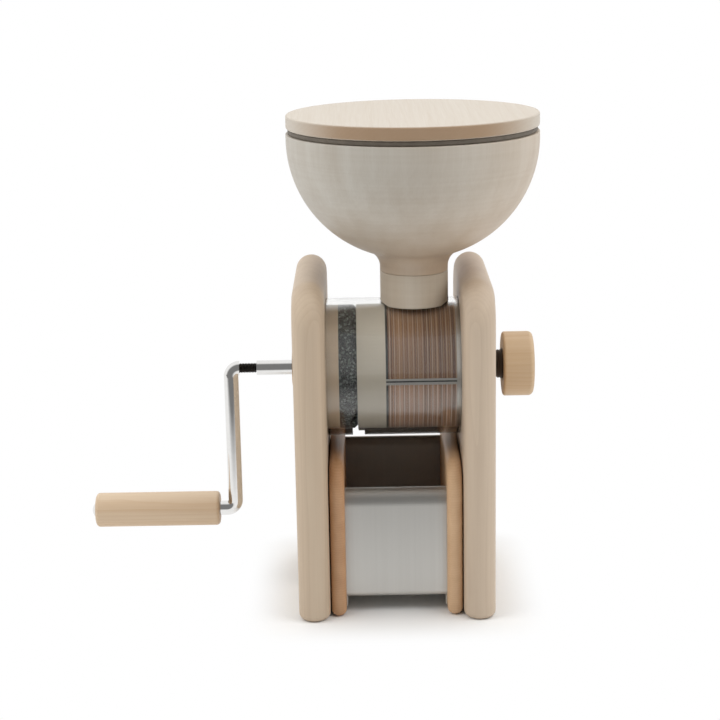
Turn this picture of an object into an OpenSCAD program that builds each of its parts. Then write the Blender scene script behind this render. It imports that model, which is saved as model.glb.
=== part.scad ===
// Hand grain mill. Two round-edged side boards carry a stone mill under a clear tube,
// with a turned hopper and lid above it and a pull-out flour bin below it.
// X runs along the crank axis, from the crank to the adjusting knob, and the front is at -Y.
// The origin is the middle of the crank side board's foot, at table level. Sizes are in mm.

/* [Side boards] */
// Thickness of each side board, whose edges are full half-rounds
board_t = 25; // [22:0.5:32]
// Depth of each side board, front to back
board_d = 172; // [160:1:220]
// Height of each side board
board_h = 269; // [258:1:282]
// Radius of each side board's top corners, seen from the side
board_corner_r = 34; // [18:1:40]
// Round-over at the foot of each side board
board_foot_r = 5; // [2:0.5:8]
// Depth of the turned seats that hold the clear tube's ends
seat_depth = 4; // [3:0.5:6]
// Thickness of the rear rail that ties the boards together
rail_t = 10; // [8:1:14]
// Height of the rear rail
rail_h = 62; // [40:1:70]
// Height of the rear rail's lower edge above the table
rail_z = 26; // [10:1:40]

/* [Mill body] */
// Height of the crank axis above the table
axis_z = 187; // [184:1:192]
// Outer diameter of the clear cover tube
tube_od = 111; // [106:1:116]
// Wall of the clear cover tube
tube_wall = 5; // [4:0.5:6]
// Room behind the drive disc for the coarsest setting
disc_back_gap = 2.5; // [2.4:0.1:3]
// Thickness of the wooden drive disc
disc_t = 11.5; // [11:0.5:16]
// Thickness of the running stone
stone_t = 14; // [10:0.5:18]
// Gap between the stones at rest
stone_gap = 0.3; // [0.3:0.1:1]
// Length of the wooden ring that holds the fixed stone
holder_l = 22.6; // [18:0.2:28]
// Depth of the fixed stone in its holder
fixed_stone_t = 12; // [8:0.5:14]
// Thickness of the rubber seal between holder and feed housing
housing_seal_t = 1.8; // [1:0.2:3]
// Length of the laminated feed housing
housing_l = 53.8; // [50:0.2:62]
// Length of the metal spacer ring between feed housing and side board
end_ring_l = 7.5; // [5.5:0.5:8]
// Thickness of the rubber gasket between the housing halves
gasket_t = 1.2; // [0.8:0.2:2]
// Thickness of the upper joint strips
upper_strip_t = 1.6; // [1:0.2:2.4]
// Thickness of the lower joint strips
lower_strip_t = 2; // [1:0.2:2.4]
// Depth of the joint strips, front to back
strip_d = 8; // [5:0.5:10]
// Width of the flour outlet under the tube
outlet_w = 9.5; // [8:0.5:12]
// Height of the flour outlet's mouth above the tube's underside
outlet_mouth_h = 11; // [9:0.5:13]
// Height of the flour outlet's pointed end above the tube's underside
outlet_tip_h = 32; // [26:1:38]

/* [Shaft and feed screw] */
// Diameter of the main shaft
shaft_d = 12; // [10:0.5:13]
// Diameter of the bore that the feed screw runs in
feed_bore_d = 34; // [30:1:38]
// Lead of the feed screw
auger_lead = 20; // [16:1:26]
// Wire diameter of the spring behind the drive disc
spring_wire_d = 2; // [1.6:0.1:2.2]
// Diameter of the thrust ball between shaft and adjusting spindle
ball_d = 8; // [6:0.5:8]

/* [Crank] */
// Distance from the crank side board's outer face to the middle of the crank arm
crank_reach = 53; // [50:1:70]
// Throw of the crank, from its axis to the grip's axis
crank_throw = 119; // [105:1:125]
// Diameter of the bent crank rod
crank_rod_d = 12; // [11:0.5:13]
// Bend radius of the crank rod at its middle line
crank_bend_r = 7; // [6.8:0.1:10]
// Visible length of the dark threaded stud
stud_l = 14; // [10:1:18]
// Diameter of the threaded stud
stud_d = 8; // [6:0.5:8]
// Length of the wooden grip
grip_l = 102; // [90:1:115]
// Bare rod between the lower bend and the grip
grip_neck_l = 6; // [4:0.5:10]
// Diameter of the wooden grip
grip_d = 28; // [24:1:32]
// Diameter of the spindle inside the grip
grip_spindle_d = 9; // [7:0.5:10]
// Diameter of the domed cap that keeps the grip on
grip_cap_d = 13; // [11:0.5:16]

/* [Adjuster] */
// Diameter of the adjusting knob
knob_d = 52; // [44:1:60]
// Length of the adjusting knob
knob_l = 25.5; // [22:0.5:30]
// Radius of the knob's outer rim
knob_edge_r = 4; // [2:0.5:6]
// Diameter of the adjusting spindle
spindle_d = 16; // [14:1:18]
// Length of the dark adjuster nut between side board and knob
nut_l = 10.5; // [9:0.5:14]
// Diameter of the adjuster nut at the side board
nut_base_d = 20; // [20:0.5:22]
// Diameter of the adjuster nut at the knob
nut_head_d = 25; // [23:0.5:28]

/* [Hopper] */
// Distance of the feed throat from the housing's stone end
throat_x = 22.3; // [21.5:0.1:24]
// Outer radius of the bowl at its rim
bowl_r = 99.5; // [90:0.5:110]
// Radius of the bowl's outer curve
bowl_arc_r = 95; // [90:0.5:98]
// Height of the straight band under the rim
rim_h = 4.6; // [3:0.2:7]
// Height of the hopper from its joint with the collar to its rim
hopper_h = 110.4; // [108:0.2:130]
// Wall of the bowl
bowl_wall = 10; // [7:0.5:12]
// Radius of the neck and the collar
neck_r = 27.1; // [25.5:0.1:28]
// Radius of the blend between bowl and neck
neck_fillet_r = 14; // [8:0.5:18]
// Diameter of the grain passage through neck and throat
throat_d = 28; // [24:1:30]
// Slope of the funnel at the bottom of the bowl, in degrees
funnel_angle = 30; // [25:1:35]
// Height of the collar between tube and hopper
collar_h = 26.9; // [22:0.1:34]
// Depth of the flat seat cut into the tube for the collar
collar_seat = 3.4; // [2:0.1:3.4]
// Length of the neck's plug in the collar
neck_plug_l = 18; // [12:0.5:20]

/* [Lid] */
// Radius of the lid
lid_r = 99.3; // [90:0.1:110]
// Thickness of the lid
lid_t = 10.5; // [8:0.5:14]
// Round-over on the lid's edges
lid_edge_r = 1.5; // [0.5:0.25:3]
// Height of the grey seal between rim and lid
lid_seal_h = 4.1; // [3:0.1:6]
// How far the seal is set back from the rim
lid_seal_inset = 1.7; // [1:0.1:3]
// Depth of the plug under the lid
lid_plug_h = 14; // [10:0.5:20]

/* [Flour bin] */
// Thickness of the bin's wooden sides, whose edges are full half-rounds
bin_side_t = 12; // [11.5:0.5:14]
// Height of the bin's wooden sides
bin_side_h = 125; // [118:1:127]
// Radius of the bin sides' top corners, seen from the side
bin_corner_r = 25; // [14:1:30]
// Round-over at the foot of the bin's sides
bin_foot_r = 5.5; // [1.5:0.5:5.5]
// How far the bin's front is set back from the side boards' front
bin_inset = 11; // [4:0.5:20]
// How far the tub's front is set back from the bin sides' front
tub_inset = 11; // [8:0.5:16]
// Height of the tub's floor above the table
tub_floor_z = 12.5; // [11:0.5:20]
// Height of the tub's front rim above the table
tub_rim_z = 101; // [95:0.5:108]
// How much higher the tub's back rim is
tub_back_rise = 13; // [0:0.5:14]
// Sheet thickness of the tub
tub_wall = 1; // [0.8:0.1:1.5]
// Bend radius along the tub's lower edges
tub_bend_r = 5; // [3:0.5:10]
// Radius of the inward roll along the tub's front and back rims
tub_roll_r = 12; // [4:0.5:14]
// Depth of the flanges turned down under the tub's floor
tub_flange_h = 9; // [8:0.5:10]

/* [Clearances] */
// Radial clearance of shafts and pins in their bores
run_clear = 0.05; // [0.03:0.01:0.08]
// Radial clearance of turned parts seated in bores
seat_clear = 0.1; // [0.05:0.01:0.15]
// Radial clearance of the turning stone and disc inside the tube
stone_clear = 0.5; // [0.4:0.1:0.8]
// Clearance of the bin at each side board
bin_clear = 0.8; // [0.5:0.1:1]
// Clearance of the bin at the rear rail
bin_back_clear = 0.3; // [0.2:0.1:0.5]

/* [Hidden] */
$fn = 96;

// Colours of the finished pieces
beech = [0.80, 0.71, 0.60];
warm_beech = [0.72, 0.56, 0.41];
pale_maple = [0.69, 0.65, 0.58];
laminate = [0.45, 0.34, 0.28];
granite = [0.27, 0.29, 0.28];
steel = [0.75, 0.75, 0.74];
aluminium = [0.70, 0.69, 0.67];
bronze = [0.66, 0.50, 0.30];
dark_resin = [0.20, 0.15, 0.11];
grey_rubber = [0.36, 0.33, 0.29];
black_rubber = [0.09, 0.09, 0.08];
clear_acrylic = [0.86, 0.88, 0.88, 0.35];
black_steel = [0.10, 0.10, 0.10];

// How far a cut runs past the face that it opens
past = 1;

// Places along the crank axis, from the crank side board to the knob
board_r = board_t / 2;
inner_face_x = board_r;
seat_x = inner_face_x - seat_depth;
disc_x = seat_x + disc_back_gap;
stone_x = disc_x + disc_t;
holder_x = stone_x + stone_t + stone_gap;
housing_seal_x = holder_x + holder_l;
housing_x = housing_seal_x + housing_seal_t;
end_ring_x = housing_x + housing_l;
far_seat_x = end_ring_x + end_ring_l;
far_face_x = far_seat_x - seat_depth;
bay_w = far_face_x - inner_face_x;
far_board_x = far_face_x + board_r;
far_outer_x = far_face_x + board_t;
hopper_x = housing_x + throat_x;

// Turned parts under the tube
tube_r = tube_od / 2;
tube_bore_r = tube_r - tube_wall;
stone_r = tube_bore_r - stone_clear;
housing_r = tube_bore_r - seat_clear;
stone_chamfer = 2.4;
eye_bevel = 3;
holder_rim = 6.4;
fixed_stone_r = housing_r - holder_rim;
furrow_count = 8;
furrow_w = 3;
furrow_depth = 0.8;
furrow_offset = feed_bore_d / 4;
sweep_w = 3.5;
sweep_l = 18;
sweep_depth = 6;
sweep_slant = 15;
sweep_turn = 37;
sweep_setback = 2.2;
end_ring_wall = 6;
seal_inset = 0.2;
outlet_lead = 4;
outlet_x = stone_x + stone_t - outlet_lead;
outlet_tip_w = 1;
outlet_tip_from = outlet_lead + (stone_gap - outlet_tip_w) / 2;
strip_setback = 0.1;
strip_inner_y = housing_r - strip_setback - strip_d;

// Shaft, bushes, feed screw and spring
shaft_r = shaft_d / 2;
bush_wall = 4;
bush_r = shaft_r + bush_wall;
bush_flange_w = 5;
bush_flange_r = bush_r + bush_flange_w;
bush_flange_t = 3;
feed_bore_r = feed_bore_d / 2;
auger_clear = 0.6;
auger_r = feed_bore_r - auger_clear;
auger_sleeve_wall = 2;
auger_core_r = shaft_r + auger_sleeve_wall;
auger_flight_t = 3;
flight_root = 0.5;
housing_bush_l = 13.5;
housing_bush_inset = 2;
housing_bush_x = end_ring_x - housing_bush_l - housing_bush_inset;
auger_end_gap = 1;
auger_end_x = housing_bush_x - auger_end_gap;
auger_setback = 6;
auger_x = holder_x + auger_setback;
auger_l = auger_end_x - auger_x;
auger_rings = 16;
ball_r = ball_d / 2;
ball_gap = 0.1;
ball_seat_depth = 3;
shaft_end_setback = 1;
shaft_end_x = end_ring_x - shaft_end_setback;
ball_x = shaft_end_x - ball_seat_depth + ball_gap + ball_r;
spindle_x = ball_x + ball_r + ball_gap;
pin_r = 2.5;
pin_l = 50;
pin_x = disc_x + disc_t / 2;
spring_pocket_r = 13;
spring_pocket_depth = 11;
spring_washer_t = 1.5;
spring_washer_clear = 1;
spring_washer_r = spring_pocket_r - spring_washer_clear;
spring_turns = 3.5;
spring_rings = 8;
spring_sides = 6;
spring_reach = 3.5;
spring_mean_r = shaft_r + spring_reach;
spring_wire_r = spring_wire_d / 2;
spring_x = seat_x - spring_pocket_depth;
spring_l = disc_x - spring_washer_t - spring_x;
spring_end_gap = 0.05;

// Crank
arm_x = -board_r - crank_reach;
rod_r = crank_rod_d / 2;
stud_x = arm_x + crank_bend_r;
shaft_x = stud_x + stud_l;
stud_depth = 12;
stud_r = stud_d / 2;
grip_axis_z = axis_z - crank_throw;
grip_play = 0.5;
grip_x = arm_x - crank_bend_r - grip_neck_l - grip_l;
grip_end_r = 3;
grip_cap_h = 3;
grip_r = grip_d / 2;
spindle_in_grip_r = grip_spindle_d / 2;

// Adjuster: coarse travel moves the knob towards the board, over the nut's head
spindle_r = spindle_d / 2;
knob_r = knob_d / 2;
knob_x = far_outer_x + nut_l;
knob_dome = 1;
knob_back_r = 2;
nut_in_knob = 0.5;
knob_travel_room = 3;
knob_pocket_depth = nut_in_knob + knob_travel_room;
knob_pocket_clear = 0.7;
knob_pocket_r = nut_head_d / 2 + knob_pocket_clear;
nut_sleeve_wall = 4;
nut_sleeve_r = spindle_r + nut_sleeve_wall;
knob_face_wall = 4;
spindle_in_knob = knob_l - knob_face_wall;

// Hopper and lid heights
collar_z = axis_z + tube_r - collar_seat;
joint_z = collar_z + collar_h;
rim_z = joint_z + hopper_h;
bowl_centre_r = bowl_r - bowl_arc_r;
bowl_centre_z = rim_z - rim_h;
throat_r = throat_d / 2;
collar_wall = 8;
plug_r = neck_r - collar_wall;
spigot_wall = 2.5;
spigot_r = throat_r + spigot_wall;
spigot_l = 9.7;
collar_spigot_z = collar_z - spigot_l;
collar_relief = 0.3;
neck_plug_gap = 1;
lid_z = rim_z + lid_seal_h;
bowl_mouth_r = bowl_r - bowl_wall;
lid_plug_clear = 1;
lid_plug_r = bowl_mouth_r - lid_plug_clear;

// Bin and rail
bin_w = bay_w - 2 * bin_clear;
bin_x = inner_face_x + bin_clear;
rail_edge_gap = 0.5;
rail_back_y = board_d / 2 - board_r - rail_edge_gap;
rail_front_y = rail_back_y - rail_t;
bin_front_y = bin_inset - board_d / 2;
bin_back_y = rail_front_y - bin_back_clear;
bin_d = bin_back_y - bin_front_y;
bin_mid_y = (bin_front_y + bin_back_y) / 2;
tub_x = bin_x + bin_side_t;
tub_w = bin_w - 2 * bin_side_t;
tub_front_y = bin_front_y + tub_inset;
tub_back_inset = 0.5;
tub_back_y = bin_back_y - bin_side_t / 2 - tub_back_inset;

// Fasteners: a screw is [[head radius, head height], [shank radius, length]]
rail_screw = [[5, 3.2], [2.6, 50]];
rail_screw_spots = [0.25, 0.75];
housing_screw = [[4.5, 2.8], [2.2, 47]];
housing_screw_pcr = 34;
bin_screw_r = 2;
bin_screw_head_r = 3.2;
bin_screw_head_h = 2.2;
bin_screw_depth = 7;
bin_screw_margin = 25;
socket_share = 0.55;
socket_depth_share = 0.8;
dowel_r = 2.5;
dowel_end_wall = 1.2;
dowel_in_holder = holder_l - fixed_stone_t - dowel_end_wall;
dowel_in_housing = 6;
dowel_l = dowel_in_holder + housing_seal_t + dowel_in_housing;
dowel_pcr = 27;

// Points along an arc, from angle a to angle b
function arc(centre, r, a, b, steps = 12) =
    [for (i = [0:steps]) centre + r * [cos(a + (b - a) * i / steps), sin(a + (b - a) * i / steps)]];

// Lays a shape made along Z on the crank axis, starting at x
module on_axis(x, y = 0, z = axis_z) {
    translate([x, y, z]) rotate([0, 90, 0]) children();
}

// A solid round bar on the crank axis or beside it
module bar(x, l, r, y = 0, z = axis_z) {
    on_axis(x, y, z) cylinder(r = r, h = l);
}

// A board with half-round edges, rounded top corners and an eased foot, thickness along X
module half_round_board(t, d, h, corner_r, foot_r) {
    r = t / 2;
    flat_y = d / 2 - r;
    corner_y = d / 2 - corner_r;
    corner_z = h - corner_r;
    foot = concat([[0, 0]], arc([r - foot_r, foot_r], foot_r, -90, 0, 8), [[0, foot_r]]);
    rotate([90, 0, 0]) linear_extrude(2 * flat_y, center = true) {
        polygon(foot);
        mirror([1, 0]) polygon(foot);
    }
    translate([-r, -flat_y, foot_r]) cube([t, 2 * flat_y, corner_z - foot_r]);
    translate([-r, -corner_y, corner_z]) cube([t, 2 * corner_y, corner_r - r]);
    translate([0, 0, h - r]) rotate([90, 0, 0]) linear_extrude(2 * corner_y, center = true) half_disc(r);
    for (side = [0, 1]) mirror([0, side, 0]) {
        translate([0, flat_y, 0]) rotate_extrude(angle = 180) polygon(foot);
        translate([0, flat_y, foot_r]) rotate_extrude(angle = 180) square([r, corner_z - foot_r]);
        translate([0, corner_y, corner_z]) rotate([90, 0, 90]) rotate_extrude(angle = 90) {
            translate([0, -r]) square([corner_r - r, t]);
            translate([corner_r - r, 0]) rotate(-90) half_disc(r);
        }
    }
}

// The upper half of a disc
module half_disc(r) {
    intersection() {
        circle(r);
        translate([-r, 0]) square([2 * r, r]);
    }
}

// A countersunk screw with a hexagon socket, along Z with its head's face at z = 0, pointing up
module countersunk(size, clear = 0, socket = true) {
    head_r = size[0][0] + clear;
    head_h = size[0][1] + clear;
    shank_r = size[1][0] + clear;
    end = size[1][1] + clear;
    difference() {
        rotate_extrude() polygon([[0, 0], [head_r, 0], [shank_r, head_h], [shank_r, end], [0, end]]);
        if (socket) translate([0, 0, -past])
            cylinder(r = head_r * socket_share, h = head_h * socket_depth_share + past, $fn = 6);
    }
}

// Places for the two rail screws at each board
module rail_screw_places() {
    rail_mid_y = rail_front_y + rail_t / 2;
    for (share = rail_screw_spots) {
        z = rail_z + rail_h * share;
        on_axis(-board_r, rail_mid_y, z) children();
        translate([far_outer_x, rail_mid_y, z]) rotate([0, -90, 0]) children();
    }
}

// Places for the housing screws, on a circle round the adjuster
module housing_screw_places() {
    for (a = [45:90:315]) {
        spot = housing_screw_pcr * [cos(a), sin(a)];
        translate([far_outer_x, spot[0], axis_z + spot[1]]) rotate([0, -90, 0]) children();
    }
}

// The two dowels that stop the stone holder from turning, above and below the feed bore
module dowel_places() {
    for (side = [-1, 1]) on_axis(housing_seal_x - dowel_in_holder, 0, axis_z + side * dowel_pcr) children();
}

// Turned seat for the tube's end, a little wider than the tube
module tube_seat(x, depth) {
    bar(x, depth, tube_r + seat_clear);
}

module crank_side_board() {
    color(beech) difference() {
        half_round_board(board_t, board_d, board_h, board_corner_r, board_foot_r);
        tube_seat(seat_x, seat_depth + past);
        bar(spring_x, spring_pocket_depth + past, spring_pocket_r);
        bar(-board_r - past, board_t, bush_r + run_clear);
        rail_screw_places() countersunk(rail_screw, seat_clear, false);
    }
}

module knob_side_board() {
    color(beech) difference() {
        translate([far_board_x, 0, 0])
            half_round_board(board_t, board_d, board_h, board_corner_r, board_foot_r);
        tube_seat(far_face_x - past, seat_depth + past);
        bar(far_seat_x - past, board_t, nut_sleeve_r + run_clear);
        rail_screw_places() countersunk(rail_screw, seat_clear, false);
        housing_screw_places() countersunk(housing_screw, seat_clear, false);
    }
}

module rear_rail() {
    color(beech) difference() {
        translate([inner_face_x, rail_front_y, rail_z]) cube([bay_w, rail_t, rail_h]);
        rail_screw_places() countersunk(rail_screw, seat_clear, false);
    }
}

module rail_screws() {
    color(steel) rail_screw_places() countersunk(rail_screw);
}

// Outline of the flour outlet, seen from the front: a wide mouth that runs to a point at the gap
module outlet_outline() {
    low = -tube_r - past;
    mouth = outlet_mouth_h - tube_r;
    tip = outlet_tip_h - tube_r;
    polygon([
        [0, low], [outlet_w, low], [outlet_w, mouth], [outlet_tip_from + outlet_tip_w, mouth],
        [outlet_tip_from, tip], [0, (mouth + tip) / 2]
    ]);
}

module cover_tube() {
    color(clear_acrylic) difference() {
        bar(seat_x, far_seat_x - seat_x, tube_r);
        bar(seat_x - past, far_seat_x - seat_x + 2 * past, tube_bore_r);
        translate([hopper_x, 0, axis_z]) cylinder(r = spigot_r + seat_clear, h = 2 * tube_r);
        translate([hopper_x, 0, collar_z]) cylinder(r = neck_r + collar_relief, h = tube_r);
        translate([outlet_x, 0, axis_z]) rotate([90, 0, 0]) linear_extrude(tube_od + past, center = true)
            outlet_outline();
    }
}

module crank_side_bush() {
    color(bronze) difference() {
        union() {
            bar(-board_r - bush_flange_t, bush_flange_t, bush_flange_r);
            bar(-board_r, spring_x + board_r, bush_r);
        }
        bar(-board_t, 2 * board_t, shaft_r + run_clear);
    }
}

// Straight grinding furrows across a stone's face, slanted off the radius
module furrows(x) {
    reach = stone_r + past;
    for (i = [0:furrow_count - 1]) translate([x, 0, axis_z]) rotate([i * 360 / furrow_count, 0, 0])
        translate([0, furrow_offset, 0]) cube([furrow_depth * 2, furrow_w, reach]);
}

module stone_holder() {
    color(pale_maple) difference() {
        bar(holder_x, holder_l, housing_r);
        bar(holder_x - past, fixed_stone_t + past, fixed_stone_r + seat_clear);
        bar(holder_x, holder_l + past, feed_bore_r);
        dowel_places() cylinder(r = dowel_r + run_clear, h = dowel_l);
    }
}

module fixed_stone() {
    color(granite) difference() {
        bar(holder_x, fixed_stone_t, fixed_stone_r);
        bar(holder_x - past, fixed_stone_t + 2 * past, feed_bore_r);
        furrows(holder_x - furrow_depth);
    }
}

module holder_dowels() {
    color(steel) dowel_places() cylinder(r = dowel_r, h = dowel_l);
}

module housing_seal() {
    color(black_rubber) difference() {
        bar(housing_seal_x, housing_seal_t, housing_r - seal_inset);
        bar(housing_seal_x - past, housing_seal_t + 2 * past, feed_bore_r);
        dowel_places() cylinder(r = dowel_r + run_clear, h = dowel_l);
        joint_rebates(gasket_t / 2, upper_strip_t);
        joint_rebates(-gasket_t / 2 - lower_strip_t, lower_strip_t);
    }
}

// The whole feed housing before it is sawn along its middle
module feed_housing() {
    difference() {
        bar(housing_x, housing_l, housing_r);
        bar(housing_x - past, housing_bush_x - housing_x + past, feed_bore_r);
        bar(housing_x, housing_l + past, bush_r + run_clear);
        translate([hopper_x, 0, axis_z]) cylinder(r = throat_r, h = 2 * housing_r);
        translate([hopper_x, 0, collar_spigot_z]) cylinder(r = spigot_r + seat_clear, h = housing_r);
        dowel_places() cylinder(r = dowel_r + run_clear, h = dowel_l);
        housing_screw_places() countersunk(housing_screw, run_clear, false);
    }
}

// A flat block across the housing, from one height above the axis to another
module housing_slice(low, high) {
    translate([housing_x - past, -housing_r - past, axis_z + low])
        cube([housing_l + 2 * past, 2 * (housing_r + past), high - low]);
}

// Two strips from x to the end ring, along the housing's front and back edges at the joint
module joint_strip_pair(x, low, t, inner_y) {
    outer_y = housing_r - strip_setback;
    for (side = [0, 1]) mirror([0, side, 0])
        translate([x, inner_y, axis_z + low]) cube([end_ring_x - x, outer_y - inner_y, t]);
}

// Rebates for the joint strips in the seal and the housing, open at the joint and at the outside
module joint_rebates(low, t) {
    for (side = [0, 1]) mirror([0, side, 0])
        translate([housing_seal_x - past, strip_inner_y, axis_z + low])
            cube([end_ring_x - housing_seal_x + 2 * past, strip_d + strip_setback + past, t]);
}

module feed_housing_upper() {
    color(laminate) difference() {
        intersection() {
            feed_housing();
            housing_slice(gasket_t / 2, housing_r + past);
        }
        joint_rebates(gasket_t / 2, upper_strip_t);
    }
}

module feed_housing_lower() {
    color(laminate) difference() {
        intersection() {
            feed_housing();
            housing_slice(-housing_r - past, -gasket_t / 2);
        }
        joint_rebates(-gasket_t / 2 - lower_strip_t, lower_strip_t);
    }
}

module upper_joint_strips() {
    color(aluminium) joint_strip_pair(housing_seal_x, gasket_t / 2, upper_strip_t, strip_inner_y);
}

module lower_joint_strips() {
    color(aluminium)
        joint_strip_pair(housing_seal_x, -gasket_t / 2 - lower_strip_t, lower_strip_t, strip_inner_y);
}

module joint_gasket() {
    color(black_rubber) joint_strip_pair(housing_x, -gasket_t / 2, gasket_t, feed_bore_r);
}

module housing_end_ring() {
    color(aluminium) difference() {
        bar(end_ring_x, end_ring_l, housing_r);
        bar(end_ring_x - past, end_ring_l + 2 * past, housing_r - end_ring_wall);
    }
}

module housing_bush() {
    color(bronze) difference() {
        bar(housing_bush_x, housing_bush_l, bush_r);
        bar(housing_bush_x - past, housing_bush_l + 2 * past, shaft_r + run_clear);
    }
}

module housing_screws() {
    color(steel) housing_screw_places() countersunk(housing_screw);
}

module adjuster_nut() {
    color(dark_resin) difference() {
        union() {
            bar(far_seat_x, far_outer_x - far_seat_x, nut_sleeve_r);
            on_axis(far_outer_x) cylinder(r1 = nut_base_d / 2, r2 = nut_head_d / 2, h = nut_l + nut_in_knob);
        }
        bar(far_seat_x - past, board_t + nut_l + 2 * past, spindle_r + run_clear);
    }
}

module hopper_collar() {
    color(beech) difference() {
        union() {
            translate([hopper_x, 0, collar_z]) cylinder(r = neck_r, h = collar_h);
            translate([hopper_x, 0, collar_spigot_z]) cylinder(r = spigot_r, h = collar_z - collar_spigot_z);
        }
        translate([hopper_x, 0, collar_spigot_z - past]) cylinder(r = throat_r, h = 2 * collar_h);
        translate([hopper_x, 0, joint_z - neck_plug_l - neck_plug_gap])
            cylinder(r = plug_r + run_clear, h = neck_plug_l + neck_plug_gap + past);
    }
}

// Turned hopper: rim, round bowl, blend, neck and plug outside; round wall, funnel and throat inside
module hopper_bowl() {
    centre = [bowl_centre_r, bowl_centre_z];
    blend_r = neck_r + neck_fillet_r;
    blend_reach = bowl_arc_r + neck_fillet_r;
    blend_angle = acos((blend_r - bowl_centre_r) / blend_reach);
    blend = [blend_r, bowl_centre_z - blend_reach * sin(blend_angle)];
    inner_r = bowl_arc_r - bowl_wall;
    funnel_stop = 90 - funnel_angle;
    funnel_top = centre + inner_r * [cos(funnel_stop), -sin(funnel_stop)];
    funnel_bottom_z = funnel_top[1] - (funnel_top[0] - throat_r) * tan(funnel_angle);
    plug_end_z = joint_z - neck_plug_l;
    outline = concat(
        [[bowl_mouth_r, rim_z]],
        [[bowl_r, rim_z]],
        arc(centre, bowl_arc_r, 0, -blend_angle, 32),
        arc(blend, neck_fillet_r, 180 - blend_angle, 180, 12),
        [[neck_r, joint_z], [plug_r, joint_z], [plug_r, plug_end_z], [throat_r, plug_end_z]],
        [[throat_r, funnel_bottom_z]],
        arc(centre, inner_r, -funnel_stop, 0, 24)
    );
    color(beech) translate([hopper_x, 0, 0]) rotate_extrude() polygon(outline);
}

module lid_disc() {
    outline = concat(
        [[0, lid_z]],
        arc([lid_r - lid_edge_r, lid_z + lid_edge_r], lid_edge_r, -90, 0, 6),
        arc([lid_r - lid_edge_r, lid_z + lid_t - lid_edge_r], lid_edge_r, 0, 90, 6),
        [[0, lid_z + lid_t]]
    );
    color(beech) translate([hopper_x, 0, 0]) rotate_extrude() polygon(outline);
}

module lid_plug() {
    color(beech) translate([hopper_x, 0, lid_z - lid_plug_h]) cylinder(r = lid_plug_r, h = lid_plug_h);
}

module lid_seal() {
    color(grey_rubber) translate([hopper_x, 0, rim_z]) difference() {
        cylinder(r = bowl_r - lid_seal_inset, h = lid_seal_h);
        translate([0, 0, -past]) cylinder(r = lid_plug_r + run_clear, h = lid_seal_h + 2 * past);
    }
}

module thrust_ball() {
    color(steel) translate([ball_x, 0, axis_z]) sphere(r = ball_r);
}

module main_shaft() {
    color(steel) difference() {
        bar(shaft_x, shaft_end_x - shaft_x, shaft_r);
        bar(shaft_x - past, stud_depth + past, stud_r + run_clear);
        bar(shaft_end_x - ball_seat_depth, ball_seat_depth + past, ball_r + ball_gap);
        drive_pin_shape(run_clear);
    }
}

// The cross pin, drilled in from the disc's rim at the back
module drive_pin_shape(clear, reach = 0) {
    translate([pin_x, -pin_l / 2 - clear, axis_z]) rotate([-90, 0, 0])
        cylinder(r = pin_r + clear, h = pin_l + 2 * clear + reach);
}

module drive_pin() {
    color(steel) drive_pin_shape(0);
}

module drive_disc() {
    color(pale_maple) difference() {
        bar(disc_x, disc_t, stone_r);
        bar(disc_x - past, disc_t + 2 * past, shaft_r + run_clear);
        drive_pin_shape(run_clear, stone_r);
    }
}

// Slanted notch in the running stone's rim, which sweeps the flour round to the outlet
module sweep_notch(x) {
    translate([x, 0, axis_z]) rotate([sweep_turn, 0, 0]) translate([0, -stone_r, 0])
        rotate([0, sweep_slant, 0]) translate([-sweep_w / 2, -past, -sweep_l / 2])
            cube([sweep_w, sweep_depth + past, sweep_l]);
}

module running_stone() {
    face_x = stone_x + stone_t;
    color(granite) difference() {
        union() {
            bar(stone_x, stone_t - stone_chamfer, stone_r);
            on_axis(face_x - stone_chamfer)
                cylinder(r1 = stone_r, r2 = stone_r - stone_chamfer, h = stone_chamfer);
        }
        bar(stone_x - past, stone_t + 2 * past, shaft_r + run_clear);
        on_axis(face_x - eye_bevel) cylinder(r1 = auger_core_r, r2 = feed_bore_r + eye_bevel, h = eye_bevel);
        furrows(face_x - furrow_depth);
        sweep_notch(face_x - sweep_setback);
    }
}

// A closed section of [radius, height] points swept along a right-hand helix about Z, ring by ring
module helix(section, turns, lead, rings_per_turn) {
    count = len(section);
    rings = ceil(turns * rings_per_turn);
    points = [
        for (i = [0:rings], point = section)
            let (a = i * 360 * turns / rings)
            [point[0] * cos(a), point[0] * sin(a), point[1] + i * lead * turns / rings]
    ];
    sides = [
        for (i = [0:rings - 1], k = [0:count - 1])
            let (n = (k + 1) % count, low = i * count, high = low + count)
            each [[low + k, low + n, high + k], [low + n, high + n, high + k]]
    ];
    last = rings * count;
    caps = [for (k = [1:count - 2]) each [[0, k + 1, k], [last, last + k, last + k + 1]]];
    polyhedron(points, concat(sides, caps));
}

// Feed screw: a right-hand flight on a sleeve that slides onto the shaft
module feed_auger() {
    root_r = auger_core_r - flight_root;
    flight = [[root_r, 0], [auger_r, 0], [auger_r, auger_flight_t], [root_r, auger_flight_t]];
    turns = (auger_l - auger_flight_t) / auger_lead;
    color(steel) difference() {
        union() {
            bar(auger_x, auger_l, auger_core_r);
            on_axis(auger_x) helix(flight, turns, auger_lead, auger_rings);
        }
        bar(auger_x - past, auger_l + 2 * past, shaft_r + run_clear);
    }
}

module spring_washer() {
    color(steel) difference() {
        bar(disc_x - spring_washer_t, spring_washer_t, spring_washer_r);
        bar(disc_x - spring_washer_t - past, spring_washer_t + 2 * past, shaft_r + run_clear);
    }
}

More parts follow.
